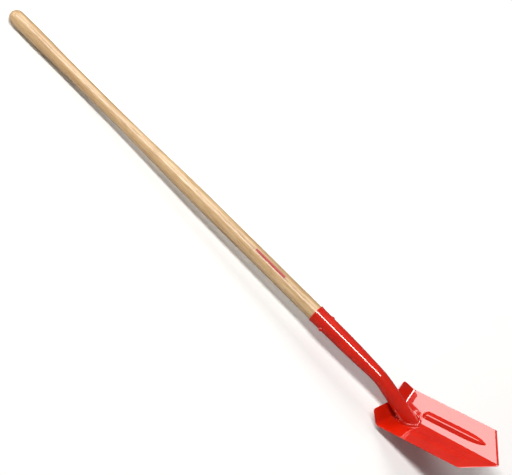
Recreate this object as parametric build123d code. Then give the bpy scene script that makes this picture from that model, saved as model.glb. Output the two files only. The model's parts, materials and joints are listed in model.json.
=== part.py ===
"""Trenching shovel: a long ash handle in a steel socket, welded to a V-shaped pointed blade.

The pieces are drawn in the blade's own frame, in millimetres: X across the blade, Y along the
bottom of the V towards the tip, Z out of the open side, with the origin where the V bottom would
meet the rear bend. At the end the whole tool is laid on its back: +Z up, the grip end and the heel
of the blade on z = 0, +Y from the grip towards the tip, origin in the middle of the footprint.
"""

import os
from math import asin, atan2, cos, degrees, hypot, pi, radians, sin, sqrt, tan

from build123d import *

# ---------------------------------------------------------------- driving dimensions
# Blade, pressed from 14 gauge sheet
SHEET = 1.9
WING_TILT = 20.1            # each wing's slope either side of the V bottom
WING_WIDTH = 71.5           # V bottom to the wing's free edge, along the slope
WING_LENGTH = 255.0         # rear bend to the wing's front corner
TIP_LENGTH = 57.8           # front corners to the tip, along Y
V_RADIUS_REAR = 32.0        # rounding of the V bottom, upper face
V_RADIUS_TIP = 8.0
CORNER_RADIUS = 3.0         # front corners of the wings
TIP_RADIUS = 4.5
BEVEL_WIDTH = 4.0           # ground bevel along the two front edges
EDGE_THICKNESS = 0.8        # left under the bevel

# Foot steps: the rear edge of each wing turned up
STEP_HEIGHT = 39.0
STEP_LEAN = 14.4            # lean back from square to the wing
STEP_BEND_RADIUS = 8.0
STEP_START = 5.0            # where the step begins, along the wing from the V bottom
STEP_CORNER = 7.0
STEP_GAP = 3.0              # slot left between the two steps, behind the socket
STEP_CLEARANCE = 0.5        # each step is notched this much clear of the socket

# Stiffening bead pressed into each wing, raised on the open side
BEAD_OFFSET = 30.2          # centre line, along the wing from the V bottom
BEAD_WIDTH = 22.0
BEAD_HEIGHT = 3.2
BEAD_START = 62.0
BEAD_END = 250.0
BEAD_HEEL = 14.0            # half length of the ellipse that rounds the rear end
BEAD_NOSE = 65.0            # half length of the ellipse that tapers the front end

# Socket: rolled sheet tube, its seam on the back
SOCKET_WALL = 1.7
AXIS_PITCH = 34.6           # handle axis to V bottom
AXIS_HEIGHT = 92.0          # handle axis above the V bottom at Y = 0
MOUTH_Y = -199.0
NECK_PITCH = 57.0           # socket axis to V bottom after the neck's bend
NECK_FOOT_Y = 46.0          # where that axis meets the V bottom
NECK_BEND_RADIUS = 110.0
LIP_LENGTH = 9.0            # flared mouth
SEAM_WIDTH = 1.2

# Outside of the tube: distance from the mouth, width, extra depth at the back
TUBE_STATIONS = [
    (0.0, 45.4, 0.0),
    (4.0, 44.0, 0.0),
    (9.0, 43.1, 0.0),
    (20.0, 42.6, 0.0),
    (42.0, 42.4, 0.0),
    (75.0, 42.0, 0.0),
    (110.0, 41.0, 0.0),
    (145.0, 39.0, 0.0),
    (167.0, 37.2, 0.0),
    (190.0, 35.4, 0.0),
    (212.0, 34.7, 0.0),
    (233.0, 34.7, 1.0),
    (262.0, 34.9, 4.0),
    (300.0, 35.4, 10.0),
    (335.0, 36.0, 15.0),
    (362.0, 36.4, 18.0),
]

# Handle: turned ash, 48 in long
HANDLE_LENGTH = 1219.0
HANDLE_BASE = 40.1          # diameter of the parallel part above the socket
HANDLE_INSERTED = 190.0     # how far it is driven into the socket
TAPER_AHEAD = 4.0           # the driven end starts to taper this far outside the mouth
GRIP_DOME = 21.0            # length of the rounded end
# Distance from the grip end and radius, between the dome and the parallel part
HANDLE_STATIONS = [(21.0, 18.7), (75.0, 19.0), (160.0, 17.3), (260.0, 16.3), (370.0, 15.8),
                   (470.0, 17.1), (560.0, 18.9), (640.0, 20.05)]
HANDLE_GROWTH = 0.4         # how far the tapered end is drawn into the wall before it is cut back

# Rivet through socket and handle
RIVET_FROM_MOUTH = 35.5
RIVET_SHANK = 6.4
RIVET_HEAD = 11.5
RIVET_HEAD_HEIGHT = 4.3
RIVET_HEAD_SUNK = 1.0       # how far the head's rim follows the socket's round below its side
RIVET_SEAT_WIDTH = 42.5     # outside of the socket at the rivet

# Fillet welds round the toe of the socket
WELD_LEG = 4.0
WELD_HEEL_Y = 14.0          # where each run starts, just ahead of the seam

# Blocks that only cut other shapes reach this far past them
BEYOND = 60.0

# ---------------------------------------------------------------- worked out from these
TILT = radians(WING_TILT)
LEAN = radians(STEP_LEAN)
PITCH = radians(AXIS_PITCH)
WING = Vector(cos(TILT), 0, sin(TILT))            # along the wing, away from the V bottom
NORMAL = Vector(-sin(TILT), 0, cos(TILT))         # square to the wing, out of the open side
FORWARD = Vector(0, 1, 0)
BEND_TANGENT = STEP_BEND_RADIUS * tan((pi / 2 - LEAN) / 2)
AXIS_DIRECTION = Vector(0, cos(PITCH), -sin(PITCH))
MOUTH = Vector(0, MOUTH_Y, AXIS_HEIGHT - MOUTH_Y * tan(PITCH))
GRIP_TIP = MOUTH - AXIS_DIRECTION * (HANDLE_LENGTH - HANDLE_INSERTED)


# ---------------------------------------------------------------- blade
def v_radius(y):
    """Rounding of the V bottom at y: wide at the heel, small at the tip."""
    share = y / (WING_LENGTH + TIP_LENGTH)
    return V_RADIUS_REAR + (V_RADIUS_TIP - V_RADIUS_REAR) * share


def v_section(y, reach, depth):
    """Closed V profile at y: wings out to reach, depth below the upper face."""
    radius = v_radius(y)
    shift = FORWARD * y
    centre = Vector(0, y, radius / cos(TILT))
    tangent = radius * tan(TILT)
    right_top = WING * reach + shift
    right_turn = WING * tangent + shift
    top_middle = centre - Vector(0, 0, radius)
    low_middle = centre - Vector(0, 0, radius + depth)
    drop = NORMAL * depth

    def flip(point):
        return Vector(-point.X, point.Y, point.Z)

    edges = [
        Edge.make_line(right_top, right_turn),
        Edge.make_three_point_arc(right_turn, top_middle, flip(right_turn)),
        Edge.make_line(flip(right_turn), flip(right_top)),
        Edge.make_line(flip(right_top), flip(right_top - drop)),
        Edge.make_line(flip(right_top - drop), flip(right_turn - drop)),
        Edge.make_three_point_arc(flip(right_turn - drop), low_middle, right_turn - drop),
        Edge.make_line(right_turn - drop, right_top - drop),
        Edge.make_line(right_top - drop, right_top),
    ]
    return Wire(edges)


def v_solid(y_start, y_end, reach, depth):
    """Trough between two stations, depth thick under the blade's upper face."""
    sections = [v_section(y_start, reach, depth), v_section(y_end, reach, depth)]
    return Solid.make_loft(sections, ruled=True)


def blade_outline():
    """Plan of the trough: parallel sides and a pointed front."""
    half = WING_WIDTH * cos(TILT)
    tip = WING_LENGTH + TIP_LENGTH
    right = [(half, BEND_TANGENT), (half, WING_LENGTH)]
    left = [(-half, WING_LENGTH), (-half, BEND_TANGENT)]
    plan = make_face(Polyline(*right, (0, tip), *left, close=True))
    plan = fillet(plan.vertices().sort_by(Axis.Y)[-1:], TIP_RADIUS)
    shoulders = [point for point in plan.vertices() if abs(point.Y - WING_LENGTH) < 0.01]
    return fillet(shoulders, CORNER_RADIUS)


def foot_step():
    """Right-hand step: the wing's rear edge bent up and leaning back."""
    rise = Vector(-sin(LEAN), cos(LEAN))
    face = Vector(cos(LEAN), sin(LEAN))
    centre = Vector(BEND_TANGENT, STEP_BEND_RADIUS)
    to_corner = centre.normalized() * -1
    front = Vector(BEND_TANGENT + SHEET, 0)
    turn_in = Vector(BEND_TANGENT, 0)
    turn_out = rise * BEND_TANGENT
    top = rise * STEP_HEIGHT
    down = Vector(0, -SHEET)
    back = face * -SHEET
    outline = [
        Line(front, turn_in),
        ThreePointArc(turn_in, centre + to_corner * STEP_BEND_RADIUS, turn_out),
        Line(turn_out, top),
        Line(top, top + back),
        Line(top + back, turn_out + back),
        ThreePointArc(turn_out + back, centre + to_corner * (STEP_BEND_RADIUS + SHEET), turn_in + down),
        Line(turn_in + down, front + down),
        Line(front + down, front),
    ]
    plane = Plane(origin=WING * STEP_START, x_dir=FORWARD, z_dir=WING)
    step = extrude(plane * make_face(outline), WING_WIDTH - STEP_START)
    lean_up = NORMAL * cos(LEAN) - FORWARD * sin(LEAN)
    corner = WING * WING_WIDTH + lean_up * STEP_HEIGHT
    step = fillet(step.edges().sort_by_distance(corner - FORWARD * SHEET / 2)[:1], STEP_CORNER)
    slot = Box(STEP_GAP, 2 * BEYOND, 2 * BEYOND)
    return step - slot - tube(-STEP_CLEARANCE)


def bead_rod(radius, trim):
    """Round bar with elliptical ends whose top shows above the wing as the bead."""
    depth = bead_radius() - BEAD_HEIGHT
    shown = sqrt(1 - (depth / bead_radius()) ** 2)
    full_start = BEAD_START + BEAD_HEEL * shown
    full_end = BEAD_END - BEAD_NOSE * shown
    heel = BEAD_HEEL - trim
    nose = BEAD_NOSE - trim
    outline = [
        Line((full_start - heel, 0), (full_end + nose, 0)),
        EllipticalCenterArc((full_end, 0), nose, radius, start_angle=0),
        Line((full_end, radius), (full_start, radius)),
        EllipticalCenterArc((full_start, 0), heel, radius, start_angle=90),
    ]
    origin = WING * BEAD_OFFSET - NORMAL * depth
    plane = Plane(origin=origin, x_dir=FORWARD, z_dir=WING)
    return revolve(plane * make_face(outline), Axis(origin, FORWARD))


def bead_radius():
    """Radius of the bead's arc, from its width and height."""
    return ((BEAD_WIDTH / 2) ** 2 + BEAD_HEIGHT ** 2) / (2 * BEAD_HEIGHT)


def front_bevel():
    """Wedge that grinds the right-hand front edge from the open side."""
    run = Vector(-WING_WIDTH, TIP_LENGTH).normalized()
    along = WING * run.X + FORWARD * run.Y
    inward = WING * -run.Y + FORWARD * run.X
    start = WING * WING_WIDTH + FORWARD * WING_LENGTH - along * BEVEL_WIDTH
    slope = (SHEET - EDGE_THICKNESS) / BEVEL_WIDTH
    plane = Plane(origin=start, x_dir=inward, z_dir=along)
    outside = -BEVEL_WIDTH
    below = slope * (outside - BEVEL_WIDTH)
    above = (2 * BEVEL_WIDTH, slope * BEVEL_WIDTH)
    wedge = make_face(Polyline((outside, below), above, (outside, BEVEL_WIDTH), close=True))
    length = hypot(WING_WIDTH, TIP_LENGTH) + BEVEL_WIDTH
    return extrude(plane * wedge, length)


def make_blade():
    """Folded and pressed sheet: V trough, two steps, two beads, ground front edges."""
    trough = v_solid(BEND_TANGENT, WING_LENGTH + TIP_LENGTH + SHEET, WING_WIDTH + SHEET, SHEET)
    blade = trough & extrude(blade_outline(), BEYOND, both=True)
    wing_plane = Plane(origin=WING * BEAD_OFFSET - NORMAL * SHEET, x_dir=FORWARD, z_dir=NORMAL)
    above = wing_plane * Pos(BEAD_END / 2, 0, SHEET + BEAD_HEIGHT) \
        * Box(2 * BEAD_END, 2 * BEAD_WIDTH, 2 * (SHEET + BEAD_HEIGHT))
    raised = bead_rod(bead_radius(), 0) & above
    hollow = bead_rod(bead_radius() - SHEET, SHEET)
    step = foot_step()
    bevel = front_bevel()
    for part in (step, raised):
        blade = blade + part + mirror(part, Plane.YZ)
    for cut in (hollow, bevel):
        blade = blade - cut - mirror(cut, Plane.YZ)
    return blade


# ---------------------------------------------------------------- socket
def tube_plane(distance):
    """Plane square to the socket's centre line at a distance from the mouth, local Y to the back."""
    turn = radians(NECK_PITCH) - PITCH
    slope = tan(radians(NECK_PITCH))
    corner_y = (NECK_FOOT_Y * slope - AXIS_HEIGHT) / (slope - tan(PITCH))
    corner = Vector(0, corner_y, AXIS_HEIGHT - corner_y * tan(PITCH))
    tangent = NECK_BEND_RADIUS * tan(turn / 2)
    bend_start = (corner - MOUTH).length - tangent
    bend_end = bend_start + NECK_BEND_RADIUS * turn
    if distance <= bend_start:
        angle = PITCH
        centre = MOUTH + AXIS_DIRECTION * distance
    elif distance <= bend_end:
        angle = PITCH + (distance - bend_start) / NECK_BEND_RADIUS
        to_start = Vector(0, sin(PITCH), cos(PITCH)) * NECK_BEND_RADIUS
        to_here = Vector(0, sin(angle), cos(angle)) * NECK_BEND_RADIUS
        centre = MOUTH + AXIS_DIRECTION * bend_start - to_start + to_here
    else:
        angle = radians(NECK_PITCH)
        centre = corner + Vector(0, cos(angle), -sin(angle)) * (tangent + distance - bend_end)
    return Plane(origin=centre, x_dir=(1, 0, 0), z_dir=(0, cos(angle), -sin(angle)))


def tube(inset):
    """Solid tube through the stations, inset from the outside."""
    sections = []
    for distance, width, extra in TUBE_STATIONS:
        half = width / 2 - inset
        oval = Pos(0, extra / 2) * Ellipse(half, half + extra / 2)
        sections.append(tube_plane(distance) * oval)
    return loft(sections)


def seam_slot():
    """Thin upright plate that opens the seam along the back of the tube."""
    neck = tube_plane(HANDLE_INSERTED).origin
    start = MOUTH - AXIS_DIRECTION * LIP_LENGTH
    outline = Polyline(
        (start.Y, start.Z),
        (neck.Y, neck.Z),
        (NECK_FOOT_Y, -LIP_LENGTH),
        (-BEYOND, -LIP_LENGTH),
        (start.Y - BEYOND, start.Z - BEYOND),
        close=True,
    )
    return extrude(Plane.YZ * make_face(outline), SEAM_WIDTH / 2, both=True)


def under_blade():
    """Everything below the blade's upper face, to seat what stands on it."""
    return v_solid(-STEP_HEIGHT, WING_LENGTH, WING_WIDTH, BEYOND)


def rivet_plane():
    """Plane across the socket at the rivet, local Z along the rivet."""
    centre = MOUTH + AXIS_DIRECTION * RIVET_FROM_MOUTH
    return Plane(origin=centre, x_dir=AXIS_DIRECTION, z_dir=(1, 0, 0))


def rivet_shank():
    """Shank long enough to reach into both heads."""
    return rivet_plane() * Cylinder(RIVET_SHANK / 2, RIVET_SEAT_WIDTH + RIVET_HEAD_HEIGHT)


def make_rivet(outside):
    """Solid steel rivet, side to side, with a domed head at each end."""
    side = RIVET_SEAT_WIDTH / 2
    rise = RIVET_HEAD_HEIGHT + RIVET_HEAD_SUNK
    dome = ((RIVET_HEAD / 2) ** 2 + rise ** 2) / (2 * rise)
    ball = Pos(0, 0, side + RIVET_HEAD_HEIGHT - dome) * Sphere(dome)
    cap = ball & Pos(0, 0, side + RIVET_HEAD_HEIGHT) * Cylinder(RIVET_HEAD, 2 * rise)
    heads = rivet_plane() * (cap + mirror(cap, Plane.XY))
    return (heads - outside) + rivet_shank()


def weld_run(side, seat):
    """Fillet along one side of the socket's toe, from its heel to the middle of the front."""
    skirt = tube(-WELD_LEG) & seat.translate((0, 0, WELD_LEG))
    middle = Pos(side * WING_WIDTH / 2, WELD_HEEL_Y + WING_LENGTH / 2, 0)
    half = middle * Box(WING_WIDTH, WING_LENGTH, 2 * BEYOND)
    return skirt & half


# ---------------------------------------------------------------- handle
def make_handle_blank():
    """Turned handle, its lower end tapered a little larger than the socket's bore."""
    mouth = HANDLE_LENGTH - HANDLE_INSERTED
    base = HANDLE_BASE / 2
    driven = [(mouth + distance, width / 2 - SOCKET_WALL + HANDLE_GROWTH)
              for distance, width, _ in TUBE_STATIONS
              if LIP_LENGTH < distance <= HANDLE_INSERTED]
    shoulder = (mouth - TAPER_AHEAD, base)
    dome = EllipticalCenterArc((GRIP_DOME, 0), GRIP_DOME, HANDLE_STATIONS[0][1], start_angle=90)
    waist = Spline(*HANDLE_STATIONS, tangents=[(1, 0.02), (1, 0)])
    parallel = Line(HANDLE_STATIONS[-1], shoulder)
    taper = Polyline(shoulder, *driven)
    inside = Polyline(driven[-1], (HANDLE_LENGTH, 0), (0, 0))
    plane = Plane(origin=GRIP_TIP, x_dir=AXIS_DIRECTION, z_dir=(1, 0, 0))
    edges = [edge for line in (dome, waist, parallel, taper, inside) for edge in line.edges()]
    return revolve(plane * make_face(edges), Axis(GRIP_TIP, AXIS_DIRECTION))


# ---------------------------------------------------------------- assembly
def rest_angle():
    """Turn about X that puts the grip end and the heel's bends on one level."""
    grip_distance, grip_radius = HANDLE_STATIONS[0]
    grip = GRIP_TIP + AXIS_DIRECTION * grip_distance
    heel = WING * STEP_START + NORMAL * STEP_BEND_RADIUS + FORWARD * BEND_TANGENT
    tipped = sqrt(1 - (sin(TILT) * cos(PITCH)) ** 2)      # the bend's end circle, seen edge on
    heel_radius = (STEP_BEND_RADIUS + SHEET) * tipped
    run = heel.Y - grip.Y
    rise = grip.Z - heel.Z
    return degrees(atan2(rise, run) - asin((grip_radius - heel_radius) / hypot(run, rise)))


def make_pieces():
    """All pieces in the blade's frame, cut so that neighbours meet face to face."""
    blade = make_blade()
    outside = tube(0)
    bore = tube(SOCKET_WALL)
    seat = under_blade()
    shank = rivet_shank()
    shell = outside - bore - seam_slot() - seat
    socket = shell - shank
    handle = make_handle_blank() - (outside - bore) - shank
    rivet = make_rivet(outside)
    pieces = {"handle": handle, "socket": socket, "blade": blade, "rivet": rivet}
    for name, side in (("weld_left", -1), ("weld_right", 1)):
        pieces[name] = weld_run(side, seat) - outside - seat
    return pieces


def lay_down(pieces):
    """Turn the tool onto its back and bring the middle of its footprint to the origin."""
    turned = {name: piece.solid().rotate(Axis.X, rest_angle()) for name, piece in pieces.items()}
    grip_end = turned["handle"].bounding_box()
    blade_end = turned["blade"].bounding_box()
    middle = (grip_end.min.Y + blade_end.max.Y) / 2
    floor = min(grip_end.min.Z, blade_end.min.Z)
    shift = Vector(0, -middle, -floor)
    return {name: piece.translate(shift) for name, piece in turned.items()}


os.makedirs("parts", exist_ok=True)
for name, piece in lay_down(make_pieces()).items():
    export_step(piece, f"parts/{name}.step")
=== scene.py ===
"""Looks of the trenching shovel: red enamelled blade and socket, lacquered ash handle."""
import json
import math
from functools import lru_cache

import bmesh
import bpy
from mathutils import Matrix, Vector, noise


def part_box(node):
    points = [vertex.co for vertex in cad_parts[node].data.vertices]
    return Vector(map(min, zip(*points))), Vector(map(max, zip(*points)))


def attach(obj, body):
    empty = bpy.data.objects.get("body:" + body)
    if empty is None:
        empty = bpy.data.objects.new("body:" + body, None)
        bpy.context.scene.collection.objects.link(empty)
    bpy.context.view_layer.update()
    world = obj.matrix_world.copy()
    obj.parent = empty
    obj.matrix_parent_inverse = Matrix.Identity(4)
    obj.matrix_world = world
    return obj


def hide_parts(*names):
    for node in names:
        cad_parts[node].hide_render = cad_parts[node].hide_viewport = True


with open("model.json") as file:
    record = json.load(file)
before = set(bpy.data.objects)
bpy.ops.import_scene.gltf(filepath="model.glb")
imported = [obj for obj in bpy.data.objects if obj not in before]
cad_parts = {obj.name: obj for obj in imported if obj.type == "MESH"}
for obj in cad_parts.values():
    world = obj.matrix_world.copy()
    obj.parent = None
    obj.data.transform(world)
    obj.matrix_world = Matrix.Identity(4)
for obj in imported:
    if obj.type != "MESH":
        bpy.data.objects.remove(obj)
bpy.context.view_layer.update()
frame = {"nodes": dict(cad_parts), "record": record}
NODES = frame["nodes"]

# ---------------------------------------------------------------- view
# The camera looks down on the tool lying on its back, from the blade's right-hand side.
VIEW_BACK = Vector((0.44164, 0.13045, 0.88766))
VIEW_UP = Vector((-0.58303, -0.71027, 0.39446))
VIEW_TARGET = Vector((-0.0459, 0.0090, 0.0217))
VIEW_DISTANCE = 6.30
LENS = 188.4                                    # millimetres, as is the sensor
SENSOR = 36.0
CLIP_END = 100.0

# ---------------------------------------------------------------- floor and light
FLOOR_HALF = 12.0
LIGHT_AIM = Vector((0, 0, 0.05))
SOFTBOX_COLOR = (1.0, 0.985, 0.96)
WORLD_COLOR = (0.97, 0.98, 1.0, 1.0)
WORLD_STRENGTH = 0.09

# ---------------------------------------------------------------- the tool's own directions
HANDLE_SLOPE = math.asin(-frame["record"]["mounts"][0]["axis"][2])
HANDLE_AXIS = Vector((0, math.cos(HANDLE_SLOPE), math.sin(HANDLE_SLOPE)))
MOUTH = Vector((0, 0.24088, 0.06158))           # handle axis at the socket's mouth

# ---------------------------------------------------------------- the blade's own frame, in metres
# X across, Y along the bottom of the V towards the tip, Z out of the open side.
BLADE_ORIGIN = Vector((0, 0.537832, -0.001586))
BLADE_RISE = math.radians(37.0364)
SHEET = 0.0019
TILT = math.radians(20.1)
WING_WIDTH = 0.0715
WING_LENGTH = 0.255
TIP_LENGTH = 0.0578
TIP_RADIUS = 0.0045
V_RADIUS_REAR = 0.032
V_RADIUS_TIP = 0.008
BEVEL_WIDTH = 0.004
EDGE_THICKNESS = 0.0008
STEP_HEIGHT = 0.039
STEP_LEAN = math.radians(14.4)
STEP_BEND_RADIUS = 0.008
STEP_START = 0.005
STEP_GAP = 0.003
STEP_CORNER = 0.007
BEAD_OFFSET = 0.0302
BEAD_HALF_WIDTH = 0.0117
BEAD_HEIGHT = 0.0031
BEAD_START = 0.062
BEAD_END = 0.250
BEAD_HEEL = 0.014
BEAD_NOSE = 0.065

BEND_TANGENT = STEP_BEND_RADIUS * math.tan((math.pi / 2 - STEP_LEAN) / 2)
WING = Vector((math.cos(TILT), 0, math.sin(TILT)))
NORMAL = Vector((-math.sin(TILT), 0, math.cos(TILT)))

# The socket's centre line in the blade's frame, its wall and the open seam behind
AXIS_PITCH = math.radians(34.6)
AXIS_HEIGHT = 0.092
MOUTH_Y = -0.199
NECK_PITCH = math.radians(57.0)
NECK_FOOT_Y = 0.046
NECK_BEND_RADIUS = 0.110
SOCKET_WALL = 0.0017
SEAM_WIDTH = 0.0012

# The socket's outside at stations: distance from the mouth, width, extra depth behind
SOCKET_STATIONS = (
    (0.000, 0.0454, 0.0), (0.004, 0.0440, 0.0), (0.009, 0.0431, 0.0), (0.020, 0.0426, 0.0),
    (0.042, 0.0424, 0.0), (0.075, 0.0420, 0.0), (0.110, 0.0410, 0.0), (0.145, 0.0390, 0.0),
    (0.167, 0.0372, 0.0), (0.190, 0.0354, 0.0), (0.212, 0.0347, 0.0), (0.233, 0.0347, 0.001),
    (0.262, 0.0349, 0.004), (0.300, 0.0354, 0.010), (0.335, 0.0360, 0.015), (0.362, 0.0364, 0.018),
)
SOCKET_TOE = (0.250, 0.362)                     # the toe lies between these distances from the mouth
BISECTIONS = 30

# The notch that the steps leave round the socket
STEP_CLEARANCE = 0.0005
NOTCH_ROUNDS = 24

# ---------------------------------------------------------------- how finely the pieces are made
COLUMN = 0.0009
WING_ROWS = 110
BEND_ROWS = 12
STEP_ROWS = 30
BEVEL_ROWS = (0.0060, 0.0052, 0.0040, 0.0028, 0.0014, 0.0)      # distances behind the front edge
FINE_STEP = 0.0002
SOCKET_LINES = 96
SOCKET_ROWS = 160
MERGE_DIGITS = 7
RIM_ANGLE = math.radians(55)
RIM_ROUND = 0.00035
RIM_SEGMENTS = 2
RIM_PROFILE = 0.6

# The welds' fine ripple, whose phase wanders, and their coarser lumps
WELD_VOXEL = 0.0006
WELD_SMOOTHING = 6
WELD_RIPPLE = 2 * math.pi / 0.0032              # radians per metre
WELD_RIPPLE_HEIGHT = 0.0002
WELD_WANDER = 2
WELD_WANDER_SCALE = 120
WELD_LUMP_HEIGHT = 0.0016
WELD_LUMP_SCALE = 115
WELD_LUMP_SHIFT = Vector((3, 1, 7))

# ---------------------------------------------------------------- colours
ENAMEL_DEEP = (0.58, 0.009, 0.0008)
ENAMEL_BRIGHT = (0.68, 0.014, 0.0012)
ASH_DARK = (0.50, 0.315, 0.155)
ASH_MIDDLE = (0.63, 0.435, 0.235)
ASH_PALE = (0.73, 0.545, 0.335)
GRAIN_TINT = (0.72, 0.62, 0.50)
PORE_TINT = (0.62, 0.50, 0.38)
NO_TINT = (1.0, 1.0, 1.0)
FLOOR_DULL = (0.86, 0.86, 0.86)
FLOOR_PALE = (0.90, 0.90, 0.90)

# One plain printed stripe along the handle, turned a little off the view
STRIPE_COLOR = (0.36, 0.014, 0.010)
STRIPE_FROM_MOUTH = 0.155
STRIPE_TURN = math.radians(26)
STRIPE_LENGTH = 0.095
STRIPE_WIDTH = 0.007

# Sockets of the Mix node that carry its factor and its colours
MIX_FACTOR, MIX_FIRST, MIX_SECOND = 0, 6, 7
MIX_RESULT = 2


# ---------------------------------------------------------------- small helpers
def link(obj):
    bpy.context.scene.collection.objects.link(obj)
    return obj


def look_along(location, back, up):
    """Matrix of a camera or light at location whose -Z axis looks against back."""
    back = back.normalized()
    right = up.cross(back).normalized()
    true_up = back.cross(right)
    turn = Matrix((right, true_up, back)).transposed().to_4x4()
    return Matrix.Translation(location) @ turn


class Shader:
    """A Principled material with short calls for its node tree."""

    def __init__(self, name):
        self.material = bpy.data.materials.new(name)
        self.material.use_nodes = True
        self.tree = self.material.node_tree
        self.principled = self.tree.nodes["Principled BSDF"]

    def set(self, **values):
        for name, value in values.items():
            self.principled.inputs[name.replace("_", " ")].default_value = value

    def node(self, kind, **inputs):
        made = self.tree.nodes.new(kind)
        for name, value in inputs.items():
            made.inputs[name.replace("_", " ")].default_value = value
        return made

    def join(self, output, target):
        self.tree.links.new(output, target)

    def math(self, operation, first, second=None):
        made = self.tree.nodes.new("ShaderNodeMath")
        made.operation = operation
        for socket, value in zip(made.inputs, (first, second)):
            if isinstance(value, (int, float)):
                socket.default_value = value
            elif value is not None:
                self.join(value, socket)
        return made.outputs[0]

    def mix(self, factor, first, second, blend="MIX"):
        made = self.tree.nodes.new("ShaderNodeMix")
        made.data_type = "RGBA"
        made.blend_type = blend
        for index, value in ((MIX_FACTOR, factor), (MIX_FIRST, first), (MIX_SECOND, second)):
            if isinstance(value, (int, float)):
                made.inputs[index].default_value = value
            elif isinstance(value, tuple):
                made.inputs[index].default_value = (*value, 1.0)
            else:
                self.join(value, made.inputs[index])
        return made.outputs[MIX_RESULT]

    def ramp(self, factor, *stops):
        made = self.tree.nodes.new("ShaderNodeValToRGB")
        elements = made.color_ramp.elements
        for index, (place, color) in enumerate(stops):
            element = elements[index] if index < 2 else elements.new(place)
            element.position = place
            element.color = (*color, 1.0)
        self.join(factor, made.inputs[0])
        return made.outputs[0]

    def noise(self, vector, scale, detail, rough=0.5, distortion=0.0):
        made = self.node("ShaderNodeTexNoise", Scale=scale, Detail=detail, Roughness=rough,
                         Distortion=distortion)
        self.join(vector, made.inputs["Vector"])
        return made.outputs["Fac"]

    def mapping(self, rotation=(0, 0, 0), scale=(1, 1, 1)):
        """Object coordinates, turned and scaled."""
        coordinates = self.tree.nodes.new("ShaderNodeTexCoord")
        made = self.node("ShaderNodeMapping", Rotation=rotation, Scale=scale)
        self.join(coordinates.outputs["Object"], made.inputs["Vector"])
        return made.outputs["Vector"]

    def bump(self, height, strength, distance, normal=None):
        made = self.node("ShaderNodeBump", Strength=strength, Distance=distance)
        self.join(height, made.inputs["Height"])
        if normal is not None:
            self.join(normal, made.inputs["Normal"])
        self.join(made.outputs["Normal"], self.principled.inputs["Normal"])
        return made.outputs["Normal"]


# ---------------------------------------------------------------- materials
def enamel():
    """Thick glossy red enamel with a faint orange peel and slightly uneven film."""
    shader = Shader("red_enamel")
    place = shader.mapping()
    film = shader.noise(place, scale=26.0, detail=3.0, rough=0.55)
    color = shader.ramp(film, (0.30, ENAMEL_DEEP), (0.70, ENAMEL_BRIGHT))
    shader.join(color, shader.principled.inputs["Base Color"])
    shader.set(Roughness=0.30, IOR=1.5, Specular_IOR_Level=0.12)
    shader.set(Coat_Weight=1.0, Coat_Roughness=0.03, Coat_IOR=1.9)
    peel = shader.noise(place, scale=420.0, detail=1.5, rough=0.4)
    wave = shader.noise(place, scale=60.0, detail=1.0, rough=0.4)
    low = shader.bump(wave, strength=0.015, distance=0.0003)
    shader.bump(peel, strength=0.010, distance=0.0001, normal=low)
    return shader.material


def ash(stripe_centre):
    """Clear-lacquered ash: long grain, fine dark pores, and a plain printed red stripe."""
    shader = Shader("ash_wood")
    turn = (-HANDLE_SLOPE, 0, 0)
    rings = shader.mapping(turn, scale=(34, 1.1, 34))
    streaks = shader.mapping(turn, scale=(260, 5.0, 260))
    pores = shader.mapping(turn, scale=(900, 26, 900))
    broad = shader.noise(rings, scale=1.0, detail=3.0, rough=0.6, distortion=0.6)
    grain = shader.noise(streaks, scale=1.0, detail=4.0, rough=0.65)
    pore = shader.noise(pores, scale=1.0, detail=2.0, rough=0.6)
    tone = shader.ramp(broad, (0.32, ASH_DARK), (0.52, ASH_MIDDLE), (0.70, ASH_PALE))
    line = shader.ramp(grain, (0.36, GRAIN_TINT), (0.56, NO_TINT))
    tone = shader.mix(0.75, tone, line, "MULTIPLY")
    fleck = shader.ramp(pore, (0.36, PORE_TINT), (0.44, NO_TINT))
    tone = shader.mix(0.7, tone, fleck, "MULTIPLY")
    tone = shader.mix(printed_stripe(shader, stripe_centre), tone, STRIPE_COLOR)
    shader.join(tone, shader.principled.inputs["Base Color"])
    gloss = shader.ramp(grain, (0.35, (0.42, 0.42, 0.42)), (0.6, (0.33, 0.33, 0.33)))
    shader.join(gloss, shader.principled.inputs["Roughness"])
    shader.set(Coat_Weight=0.35, Coat_Roughness=0.22)
    low = shader.bump(grain, strength=0.18, distance=0.0003)
    shader.bump(pore, strength=0.12, distance=0.0002, normal=low)
    return shader.material


def printed_stripe(shader, centre):
    """Mask of one plain stripe along the handle, fixed to the wood by its own direction."""
    facing = (VIEW_BACK - HANDLE_AXIS * VIEW_BACK.dot(HANDLE_AXIS)).normalized()
    outward = facing * math.cos(STRIPE_TURN) + facing.cross(HANDLE_AXIS) * math.sin(STRIPE_TURN)
    across = outward.cross(HANDLE_AXIS)
    coordinates = shader.tree.nodes.new("ShaderNodeTexCoord").outputs["Object"]

    def along(direction):
        dot = shader.tree.nodes.new("ShaderNodeVectorMath")
        dot.operation = "DOT_PRODUCT"
        shader.join(coordinates, dot.inputs[0])
        dot.inputs[1].default_value = direction
        return shader.math("SUBTRACT", dot.outputs["Value"], centre.dot(direction))

    length = shader.math("ABSOLUTE", along(HANDLE_AXIS))
    width = shader.math("ABSOLUTE", along(across))
    front = shader.math("GREATER_THAN", along(outward), 0.0)
    inside = shader.math("LESS_THAN", length, STRIPE_LENGTH / 2)
    narrow = shader.math("LESS_THAN", width, STRIPE_WIDTH / 2)
    return shader.math("MULTIPLY", shader.math("MULTIPLY", inside, narrow), front)


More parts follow.
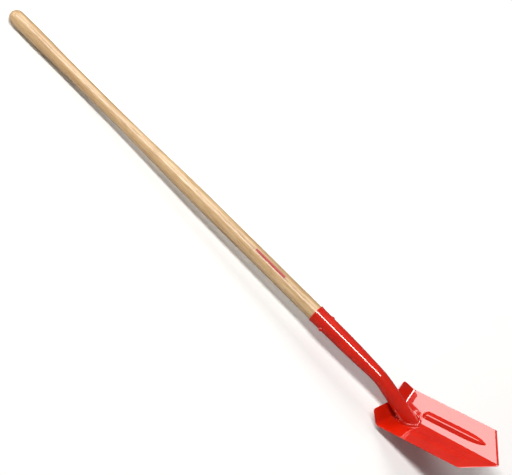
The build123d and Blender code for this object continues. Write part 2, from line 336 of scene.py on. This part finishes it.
def floor_paint():
    """Matt pale floor with a barely visible mottle."""
    shader = Shader("floor_paint")
    mottle = shader.noise(shader.mapping(), scale=1.5, detail=2.0)
    color = shader.ramp(mottle, (0.3, FLOOR_DULL), (0.7, FLOOR_PALE))
    shader.join(color, shader.principled.inputs["Base Color"])
    shader.set(Roughness=0.9, Specular_IOR_Level=0.1)
    return shader.material


# ---------------------------------------------------------------- stage
def add_floor(material):
    mesh = bpy.data.meshes.new("floor")
    half = FLOOR_HALF
    corners = [(-half, -half, 0), (half, -half, 0), (half, half, 0), (-half, half, 0)]
    mesh.from_pydata(corners, [], [(0, 1, 2, 3)])
    mesh.materials.append(material)
    floor = link(bpy.data.objects.new("floor", mesh))
    floor.visible_glossy = False        # the gloss mirrors the dim studio and not the floor


def add_softbox(name, aim, direction, distance, size, power, up=Vector((0, 1, 0))):
    """Rectangular area light that shines on aim from a direction."""
    data = bpy.data.lights.new(name, "AREA")
    data.shape = "RECTANGLE"
    data.size, data.size_y = size
    data.energy = power
    data.color = SOFTBOX_COLOR
    light = link(bpy.data.objects.new(name, data))
    direction = direction.normalized()
    light.matrix_world = look_along(aim + direction * distance, direction, up)
    return light


def add_lights():
    """Overhead strip, a panel low behind the grip end, a high key on the left and soft fill."""
    blade_low, blade_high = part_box("blade")
    blade = (blade_low + blade_high) / 2
    add_softbox("overhead_strip", LIGHT_AIM, Vector((0.06, -0.19, 0.98)), distance=3.0,
                size=(0.45, 3.4), power=96)
    add_softbox("grip_end_panel", blade, Vector((0.07, -0.97, 0.27)), distance=3.6,
                size=(1.25, 1.3), power=21, up=Vector((0, 0, 1)))
    add_softbox("left_key", LIGHT_AIM, Vector((-0.62, -0.35, 0.70)), distance=4.0,
                size=(2.0, 2.0), power=70)
    fill = add_softbox("right_fill", LIGHT_AIM, Vector((0.75, 0.85, 0.35)), distance=4.0,
                       size=(2.5, 2.0), power=16)
    fill.visible_glossy = False         # it opens the shadows and leaves the neck's gloss dark
    world = bpy.data.worlds.new("studio")
    world.use_nodes = True
    background = world.node_tree.nodes["Background"]
    background.inputs["Color"].default_value = WORLD_COLOR
    background.inputs["Strength"].default_value = WORLD_STRENGTH
    bpy.context.scene.world = world


def add_camera():
    data = bpy.data.cameras.new("camera")
    data.sensor_width = SENSOR
    data.lens = LENS
    data.clip_end = CLIP_END
    camera = link(bpy.data.objects.new("camera", data))
    camera.matrix_world = look_along(VIEW_TARGET + VIEW_BACK * VIEW_DISTANCE, VIEW_BACK, VIEW_UP)
    bpy.context.scene.camera = camera


# ---------------------------------------------------------------- blade
def v_height(x, y):
    """Height of the blade's upper face above the V bottom line."""
    share = min(max(y / (WING_LENGTH + TIP_LENGTH), 0), 1)
    radius = V_RADIUS_REAR + (V_RADIUS_TIP - V_RADIUS_REAR) * share
    if abs(x) < radius * math.sin(TILT):
        return radius / math.cos(TILT) - math.sqrt(radius ** 2 - x ** 2)
    return abs(x) * math.tan(TILT)


def front_edge(x):
    """Y of the blade's front edge at x, with the tip rounded."""
    slope = TIP_LENGTH / (WING_WIDTH * math.cos(TILT))
    angle = math.atan(slope)
    turn = TIP_RADIUS * math.sin(angle)
    tip = WING_LENGTH + TIP_LENGTH
    if abs(x) > turn:
        return tip - slope * abs(x)
    return tip - slope * turn - TIP_RADIUS * math.cos(angle) + math.sqrt(TIP_RADIUS ** 2 - x ** 2)


def bead_rise(across, y):
    """Bell-shaped rise of the pressed bead over the wing."""
    size = 1.0
    if y < BEAD_START + BEAD_HEEL:
        size = 1 - ((BEAD_START + BEAD_HEEL - y) / BEAD_HEEL) ** 2
    elif y > BEAD_END - BEAD_NOSE:
        size = 1 - ((y - BEAD_END + BEAD_NOSE) / BEAD_NOSE) ** 2
    size = math.sqrt(max(size, 0))
    reach = abs(across - BEAD_OFFSET)
    if reach >= BEAD_HALF_WIDTH * size:
        return 0.0
    return BEAD_HEIGHT * size * (1 + math.cos(math.pi * reach / (BEAD_HALF_WIDTH * size))) / 2


def wing_point(across, y, depth):
    """Point of the trough, depth under its upper face; across is signed."""
    side = -1 if across < 0 else 1
    x = across * math.cos(TILT)
    lean = (v_height(x + FINE_STEP, y) - v_height(x - FINE_STEP, y)) / (2 * FINE_STEP)
    normal = Vector((-lean, 0, 1)).normalized()
    from_edge = (front_edge(x) - y) * math.cos(math.atan2(TIP_LENGTH, WING_WIDTH))
    ground = (SHEET - EDGE_THICKNESS) * max(0, 1 - from_edge / BEVEL_WIDTH)
    rise = bead_rise(side * across, y) - depth
    if depth == 0:
        rise -= ground
    return Vector((x, y, v_height(x, y))) + normal * rise


def socket_half_width(y, height):
    """Half width of the socket, with the steps' clearance, level with a point of its middle plane."""
    low, high = SOCKET_TOE
    for _ in range(BISECTIONS):
        distance = (low + high) / 2
        centre, pitch = socket_frame(distance)
        ahead = (y - centre.y) * math.cos(pitch) - (height - centre.z) * math.sin(pitch)
        if ahead > 0:
            low = distance
        else:
            high = distance
    behind = -(y - centre.y) * math.sin(pitch) - (height - centre.z) * math.cos(pitch)
    width, extra = socket_size(distance)
    half = width / 2 + STEP_CLEARANCE
    reach = 1 - ((behind - extra / 2) / (half + extra / 2)) ** 2
    return half * math.sqrt(max(reach, 0))


@lru_cache(maxsize=None)
def step_inner_edge(climb, depth):
    """Where a step starts across the wing, climb up its face: clear of the middle and the socket."""
    forward = -climb * math.sin(STEP_LEAN) - depth * math.cos(STEP_LEAN)
    out = climb * math.cos(STEP_LEAN) - depth * math.sin(STEP_LEAN)
    across = STEP_START
    for _ in range(NOTCH_ROUNDS):
        height = across * math.sin(TILT) + out * math.cos(TILT)
        clear = max(STEP_GAP / 2, socket_half_width(forward, height))
        wanted = max(STEP_START, (clear + out * math.sin(TILT)) / math.cos(TILT))
        across = (across + wanted) / 2
    return across


def step_point(side, share, row, depth):
    """Point of the step on a side (1 or -1): share of its width, row from the bend up to the top.

    Rows below 1 lie in the bend and rows from 1 to 2 on the flat face.
    """
    full_turn = math.pi / 2 - STEP_LEAN
    if row < 1:
        angle = full_turn * row
        radius = STEP_BEND_RADIUS + depth
        forward = BEND_TANGENT - radius * math.sin(angle)
        out = STEP_BEND_RADIUS - radius * math.cos(angle)
        across = STEP_START + (WING_WIDTH - STEP_START) * share
    else:
        climb = BEND_TANGENT + (STEP_HEIGHT - BEND_TANGENT) * (row - 1)
        inner = step_inner_edge(climb, depth)
        across = inner + (WING_WIDTH - inner) * share
        side_gap = STEP_CORNER - (WING_WIDTH - across)
        top_gap = STEP_CORNER - (STEP_HEIGHT - climb)
        if side_gap > 0 and top_gap > 0:        # the square corner is drawn in to a round one
            outward, upward = side_gap / STEP_CORNER, top_gap / STEP_CORNER
            across += STEP_CORNER * outward * (math.sqrt(1 - upward * upward / 2) - 1)
            climb += STEP_CORNER * upward * (math.sqrt(1 - outward * outward / 2) - 1)
        forward = -climb * math.sin(STEP_LEAN) - depth * math.cos(STEP_LEAN)
        out = climb * math.cos(STEP_LEAN) - depth * math.sin(STEP_LEAN)
    lift = v_height(across * math.cos(TILT), 0) - across * math.sin(TILT)
    point = WING * across + NORMAL * out + Vector((0, forward, lift))
    return Vector((side * point.x, point.y, point.z))


def to_tool(point):
    """From the blade's own frame to the tool's."""
    turn = Matrix.Rotation(BLADE_RISE, 3, "X")
    return turn @ point + BLADE_ORIGIN


def sheet_pair(point, *place):
    """The sheet's upper and lower point at a place, in the tool's frame."""
    return tuple(to_tool(point(*place, depth)) for depth in (0, SHEET))


def wing_rows(across):
    """Y of each row of the trough: evenly spaced, then close together over the ground edge."""
    front = front_edge(across * math.cos(TILT))
    last = front - BEVEL_ROWS[0]
    rows = [BEND_TANGENT + (last - BEND_TANGENT) * index / WING_ROWS for index in range(WING_ROWS)]
    return rows + [front - margin for margin in BEVEL_ROWS]


def sheet_mesh(name, grids):
    """Closed mesh of a sheet from grids of (upper, lower) point pairs that share their edges."""
    mesh = bpy.data.meshes.new(name)
    work = bmesh.new()
    made = {}

    def corner(point):
        key = tuple(round(value, MERGE_DIGITS) for value in point)
        if key not in made:
            made[key] = work.verts.new(point)
        return made[key]

    edges = {}
    for grid in grids:
        for row, following in zip(grid, grid[1:]):
            for index in range(len(row) - 1):
                cell = (row[index], row[index + 1], following[index + 1], following[index])
                work.faces.new([corner(pair[0]) for pair in cell])
                work.faces.new([corner(pair[1]) for pair in reversed(cell)])
                for first, second in zip(cell, cell[1:] + cell[:1]):
                    key = frozenset((corner(first[0]), corner(second[0])))
                    edges[key] = None if key in edges else (first, second)
    for pair in edges.values():
        if pair is not None:
            first, second = pair
            work.faces.new([corner(second[0]), corner(first[0]), corner(first[1]), corner(second[1])])
    bmesh.ops.recalc_face_normals(work, faces=work.faces)
    rims = [edge for edge in work.edges if edge.calc_face_angle(0) > RIM_ANGLE]
    bmesh.ops.bevel(work, geom=rims, offset=RIM_ROUND, segments=RIM_SEGMENTS, profile=RIM_PROFILE,
                    affect="EDGES")
    for face in work.faces:
        face.smooth = True
    work.to_mesh(mesh)
    work.free()
    return mesh


def make_blade(material):
    """One pressed sheet: V trough with two beads, two foot steps and ground front edges."""
    count = round(WING_WIDTH / COLUMN)
    inner = round(STEP_START / COLUMN)
    right = [STEP_START * index / inner for index in range(inner)]
    right += [STEP_START + (WING_WIDTH - STEP_START) * index / (count - inner)
              for index in range(count - inner + 1)]
    columns = [-across for across in reversed(right[1:])] + right
    grids = [[[sheet_pair(wing_point, across, y) for y in wing_rows(across)] for across in columns]]
    rows = [index / BEND_ROWS for index in range(1, BEND_ROWS)]
    rows += [1 + index / STEP_ROWS for index in range(STEP_ROWS + 1)]
    for side in (1, -1):
        grid = []
        for across in right[inner:]:
            share = (across - STEP_START) / (WING_WIDTH - STEP_START)
            column = [sheet_pair(wing_point, side * across, BEND_TANGENT)]  # shared with the trough
            grid.append(column + [sheet_pair(step_point, side, share, row) for row in rows])
        grids.append(grid)
    mesh = sheet_mesh("pressed_blade", grids)
    mesh.materials.append(material)
    piece = link(bpy.data.objects.new("pressed_blade", mesh))
    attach(piece, "root")
    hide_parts("blade")


# ---------------------------------------------------------------- socket
def socket_frame(distance):
    """Centre of the socket's section at a distance from the mouth, and its pitch."""
    turn = NECK_PITCH - AXIS_PITCH
    slope = math.tan(NECK_PITCH)
    corner_y = (NECK_FOOT_Y * slope - AXIS_HEIGHT) / (slope - math.tan(AXIS_PITCH))
    corner = Vector((0, corner_y, AXIS_HEIGHT - corner_y * math.tan(AXIS_PITCH)))
    mouth = Vector((0, MOUTH_Y, AXIS_HEIGHT - MOUTH_Y * math.tan(AXIS_PITCH)))
    tangent = NECK_BEND_RADIUS * math.tan(turn / 2)
    bend_start = (corner - mouth).length - tangent
    bent = min(max(distance - bend_start, 0), NECK_BEND_RADIUS * turn)
    pitch = AXIS_PITCH + bent / NECK_BEND_RADIUS
    before = min(distance, bend_start)
    after = max(distance - bend_start - NECK_BEND_RADIUS * turn, 0)
    across_bend = Vector((0, math.sin(pitch) - math.sin(AXIS_PITCH),
                          math.cos(pitch) - math.cos(AXIS_PITCH)))
    centre = mouth + Vector((0, math.cos(AXIS_PITCH), -math.sin(AXIS_PITCH))) * before
    centre += across_bend * NECK_BEND_RADIUS
    centre += Vector((0, math.cos(pitch), -math.sin(pitch))) * after
    return centre, pitch


def socket_size(distance):
    """Width and extra depth behind, on a smooth curve through the stations."""
    last = len(SOCKET_STATIONS) - 1
    index = max(place for place in range(last) if SOCKET_STATIONS[place][0] <= distance or place == 0)
    before, near, far, beyond = (SOCKET_STATIONS[min(max(index + move, 0), last)]
                                 for move in (-1, 0, 1, 2))
    span = far[0] - near[0]
    share = (distance - near[0]) / span
    values = []
    for column in (1, 2):
        start = (far[column] - before[column]) / (far[0] - before[0]) * span
        end = (beyond[column] - near[column]) / (beyond[0] - near[0]) * span
        values.append((2 * share ** 3 - 3 * share ** 2 + 1) * near[column]
                      + (share ** 3 - 2 * share ** 2 + share) * start
                      + (3 * share ** 2 - 2 * share ** 3) * far[column]
                      + (share ** 3 - share ** 2) * end)
    return values


def socket_point(distance, around, inset):
    """Point of the socket's wall; around is 0 in front and half a turn at the seam."""
    centre, pitch = socket_frame(distance)
    width, extra = socket_size(distance)
    half = width / 2 - inset
    back = extra / 2 - (half + extra / 2) * math.cos(around)
    return centre + Vector((half * math.sin(around), -back * math.sin(pitch), -back * math.cos(pitch)))


def socket_end(around, inset):
    """Distance from the mouth at which a line along the socket meets the blade."""
    low, high = SOCKET_TOE
    for _ in range(BISECTIONS):
        middle = (low + high) / 2
        point = socket_point(middle, around, inset)
        if point.z > v_height(point.x, point.y):
            low = middle
        else:
            high = middle
    return low


def make_socket(material):
    """Rolled tube with a flared mouth, an open seam behind and its toe cut to the V."""
    seam = math.pi - SEAM_WIDTH / SOCKET_STATIONS[0][1]
    insets = (0, SOCKET_WALL)
    grid = []
    for index in range(SOCKET_LINES + 1):
        around = seam * (2 * index / SOCKET_LINES - 1)
        ends = [socket_end(around, inset) for inset in insets]
        line = []
        for row in range(SOCKET_ROWS + 1):
            share = row / SOCKET_ROWS
            line.append(tuple(to_tool(socket_point(end * share, around, inset))
                              for end, inset in zip(ends, insets)))
        grid.append(line)
    mesh = sheet_mesh("rolled_socket", [grid])
    mesh.materials.append(material)
    piece = link(bpy.data.objects.new("rolled_socket", mesh))
    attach(piece, "root")
    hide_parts("socket")


# ---------------------------------------------------------------- welds
def make_weld(node, material):
    """Rippled and lumpy bead made from the plain fillet of a CAD weld node."""
    mesh = NODES[node].data.copy()
    mesh.name = node + "_bead"
    mesh.materials.clear()
    mesh.materials.append(material)
    piece = link(bpy.data.objects.new(mesh.name, mesh))
    remesh = piece.modifiers.new("remesh", "REMESH")
    remesh.mode = "VOXEL"
    remesh.voxel_size = WELD_VOXEL
    soften = piece.modifiers.new("soften", "SMOOTH")
    soften.iterations = WELD_SMOOTHING
    depsgraph = bpy.context.evaluated_depsgraph_get()
    applied = bpy.data.meshes.new_from_object(piece.evaluated_get(depsgraph))
    piece.modifiers.clear()
    piece.data = applied
    applied.name = mesh.name
    normals = [vertex.normal.copy() for vertex in applied.vertices]
    for vertex, normal in zip(applied.vertices, normals):
        place = vertex.co
        wander = WELD_WANDER * noise.noise(place * WELD_WANDER_SCALE)
        ripple = math.sin(place.y * WELD_RIPPLE + wander)
        lump = noise.noise(place * WELD_LUMP_SCALE + WELD_LUMP_SHIFT)
        vertex.co = place + normal * (WELD_RIPPLE_HEIGHT * ripple + WELD_LUMP_HEIGHT * lump)
    for polygon in applied.polygons:
        polygon.use_smooth = True
    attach(piece, "root")
    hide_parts(node)


# ---------------------------------------------------------------- carried-over pieces
def paint(node, material):
    """Give a carried-over CAD node its material."""
    mesh = NODES[node].data
    mesh.materials.clear()
    mesh.materials.append(material)


bpy.context.scene.view_settings.view_transform = "Standard"
red = enamel()
paint("rivet", red)
paint("handle", ash(MOUTH - HANDLE_AXIS * STRIPE_FROM_MOUTH))
make_blade(red)
make_socket(red)
for name in ("weld_left", "weld_right"):
    make_weld(name, red)
add_floor(floor_paint())
add_lights()
add_camera()
